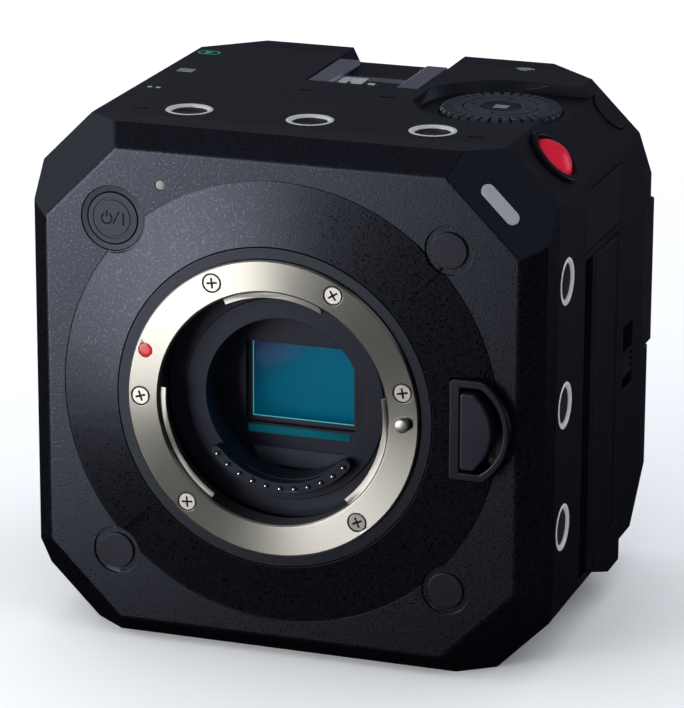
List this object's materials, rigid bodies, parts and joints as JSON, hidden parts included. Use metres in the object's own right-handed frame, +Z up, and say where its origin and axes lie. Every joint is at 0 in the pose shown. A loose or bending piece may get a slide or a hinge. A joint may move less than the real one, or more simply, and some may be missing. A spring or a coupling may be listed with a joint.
{
  "type": "digital cinema camera",
  "caption": "Box-shaped digital cinema camera body with a bayonet lens mount, threaded faces, control dial, accessory shoe, card door and rear battery bay.",
  "frame": {"origin": "centre of the base plane, halfway between the lock pin's tip and the back face", "axes": "+Z up, -Y the lens mount's side, +X the card door's side (right, seen from the front)"},
  "size_m": [0.093, 0.0792, 0.093],
  "materials": {
    "casing_front": "satin fine speckle",
    "casing_top": "satin",
    "casing_left": "satin fine speckle",
    "casing_right": "satin",
    "casing_bottom": "satin fine speckle",
    "casing_rear": "satin",
    "chassis": "cast",
    "mount_base": "black anodised",
    "bayonet": "satin nickel",
    "mount_screw": "satin",
    "index_red": "gloss",
    "lock_pin": "polished",
    "contact_black": "matte",
    "contact_gold": "polished",
    "baffle_black": "matte",
    "sensor_frame": "matte",
    "sensor_glass": "coated glass, shown opaque teal",
    "sensor_die": "gloss",
    "board_sensor": "satin",
    "power_button": "satin",
    "power_collar": "satin",
    "screw_cap": "matte",
    "status_lamp": "translucent",
    "release_button": "satin",
    "release_bezel": "satin",
    "tally_lamp": "translucent",
    "record_red": "gloss",
    "record_collar": "satin",
    "chamfer_button": "satin",
    "dial": "satin knurled",
    "dial_bush": "turned",
    "menu_button": "satin",
    "shoe_steel": "satin",
    "shoe_spring": "bright",
    "shoe_plate": "matte",
    "shoe_contact": "polished",
    "insert_steel": "bright",
    "card_door": "satin",
    "door_pin": "ground",
    "door_lock": "satin",
    "card_slots": "matte",
    "audio_cover": "satin",
    "audio_socket": "satin",
    "battery_plate": "satin",
    "battery_terminal": "matte",
    "battery_release": "satin",
    "video_connector": "nickel",
    "hdmi_shell": "satin",
    "usb_shell": "satin",
    "network_shell": "satin",
    "power_socket": "satin",
    "rear_cover_rubber": "matte",
    "board_main": "satin",
    "heat_sink": "extruded",
    "fan_housing": "matte",
    "fan_rotor": "matte",
    "casing_screw": "black"
  },
  "bodies": {
    "camera_body": {"front_casing": "casing_front", "top_cover": "casing_top", "left_side_cover": "casing_left", "right_side_cover": "casing_right", "bottom_cover": "casing_bottom", "rear_cover": "casing_rear", "main_chassis": "chassis", "mount_base_ring": "mount_base", "bayonet_ring": "bayonet", "mount_screws": "mount_screw", "index_dot": "index_red", "contact_block": "contact_black", "light_baffle": "baffle_black", "sensor_frame": "sensor_frame", "sensor_cover_glass": "sensor_glass", "image_sensor": "sensor_die", "sensor_board": "board_sensor", "power_button_collar": "power_collar", "screw_caps": "screw_cap", "status_lamp_lens": "status_lamp", "release_bezel": "release_bezel", "tally_lamp_lens": "tally_lamp", "record_button_collar": "record_collar", "dial_bush": "dial_bush", "hot_shoe": "shoe_steel", "shoe_springs": "shoe_spring", "shoe_contact_plate": "shoe_plate", "shoe_contacts": "shoe_contact", "thread_inserts": "insert_steel", "card_door_pin": "door_pin", "card_slots": "card_slots", "audio_sockets": "audio_socket", "battery_plate": "battery_plate", "battery_terminals": "battery_terminal", "video_connectors": "video_connector", "hdmi_socket": "hdmi_shell", "usb_socket": "usb_shell", "network_socket": "network_shell", "power_socket": "power_socket", "main_board": "board_main", "heat_sink": "heat_sink", "fan_housing": "fan_housing", "casing_screws": "casing_screw"},
    "power_button": {"power_button": "power_button"},
    "record_button": {"record_button": "record_red"},
    "side_function_button": {"side_function_button": "chamfer_button"},
    "function_button": {"function_button": "chamfer_button"},
    "quick_menu_button": {"quick_menu_button": "chamfer_button"},
    "playback_button": {"playback_button": "chamfer_button"},
    "menu_button": {"menu_button": "menu_button"},
    "control_dial": {"control_dial": "dial"},
    "lens_release_button": {"lens_release_button": "release_button"},
    "lens_lock_pin": {"lens_lock_pin": "lock_pin"},
    "contact_pins": {"contact_pins": "contact_gold"},
    "audio_cover": {"audio_cover": "audio_cover"},
    "card_door": {"card_door": "card_door"},
    "card_door_lock": {"card_door_lock": "door_lock"},
    "battery_release": {"battery_release": "battery_release"},
    "rear_socket_cover": {"rear_socket_cover": "rear_cover_rubber"},
    "fan_rotor": {"fan_rotor": "fan_rotor"}
  },
  "joints": [
    {"name": "power_button_press", "type": "slide", "parent": "camera_body", "child": "power_button", "axis": [0, 1, 0], "range_m": [0, 0.0008], "stiffness_N_per_m": 600, "springref_m": -0.0005},
    {"name": "record_button_press", "type": "slide", "parent": "camera_body", "child": "record_button", "axis": [-0.7071, 0, -0.7071], "range_m": [0, 0.0009], "stiffness_N_per_m": 600, "springref_m": -0.0005},
    {"name": "side_function_button_press", "type": "slide", "parent": "camera_body", "child": "side_function_button", "axis": [-0.7071, 0, -0.7071], "range_m": [0, 0.0005], "stiffness_N_per_m": 600, "springref_m": -0.0005},
    {"name": "function_button_press", "type": "slide", "parent": "camera_body", "child": "function_button", "axis": [0.7071, 0, -0.7071], "range_m": [0, 0.0005], "stiffness_N_per_m": 600, "springref_m": -0.0005},
    {"name": "quick_menu_button_press", "type": "slide", "parent": "camera_body", "child": "quick_menu_button", "axis": [0.7071, 0, -0.7071], "range_m": [0, 0.0005], "stiffness_N_per_m": 600, "springref_m": -0.0005},
    {"name": "playback_button_press", "type": "slide", "parent": "camera_body", "child": "playback_button", "axis": [0.7071, 0, -0.7071], "range_m": [0, 0.0005], "stiffness_N_per_m": 600, "springref_m": -0.0005},
    {"name": "menu_button_press", "type": "slide", "parent": "camera_body", "child": "menu_button", "axis": [0, 0, -1], "range_m": [0, 0.0005], "stiffness_N_per_m": 600, "springref_m": -0.0005},
    {"name": "control_dial_turn", "type": "hinge", "parent": "camera_body", "child": "control_dial", "pos_m": [0.027, 0.005, 0.0905], "axis": [0, 0, 1], "continuous": true},
    {"name": "lens_release_button_press", "type": "slide", "parent": "camera_body", "child": "lens_release_button", "axis": [0, 1, 0], "range_m": [0, 0.002], "stiffness_N_per_m": 500, "springref_m": -0.0005},
    {"name": "lens_lock_pin_slide", "type": "slide", "parent": "camera_body", "child": "lens_lock_pin", "axis": [0, 1, 0], "range_m": [0, 0.0014]},
    {"name": "contact_pins_press", "type": "slide", "parent": "camera_body", "child": "contact_pins", "axis": [0, 1, 0], "range_m": [0, 0.0006], "stiffness_N_per_m": 1200, "springref_m": -0.0005},
    {"name": "audio_cover_hinge", "type": "hinge", "parent": "camera_body", "child": "audio_cover", "pos_m": [0.0465, -0.0082, 0.0759], "axis": [0, 0, -1], "range_deg": [0, 110]},
    {"name": "card_door_hinge", "type": "hinge", "parent": "camera_body", "child": "card_door", "pos_m": [0.0455, 0, 0.0405], "axis": [0, 0, -1], "range_deg": [0, 100]},
    {"name": "card_door_lock_slide", "type": "slide", "parent": "camera_body", "child": "card_door_lock", "axis": [0, 0, 1], "range_m": [0, 0.0044]},
    {"name": "battery_release_slide", "type": "slide", "parent": "camera_body", "child": "battery_release", "axis": [1, 0, 0], "range_m": [0, 0.004], "stiffness_N_per_m": 200, "springref_m": -0.001},
    {"name": "rear_socket_cover_hinge", "type": "hinge", "parent": "camera_body", "child": "rear_socket_cover", "pos_m": [0.0465, 0.03125, 0.0555], "axis": [0, 0, -1], "range_deg": [0, 100]},
    {"name": "fan_spin", "type": "hinge", "parent": "camera_body", "child": "fan_rotor", "pos_m": [-0.04, 0.005, 0.0455], "axis": [1, 0, 0], "continuous": true}
  ],
  "couplings": [
    {"joint": "lens_lock_pin_slide", "follows": "lens_release_button_press", "ratio": 0.7}
  ]
}
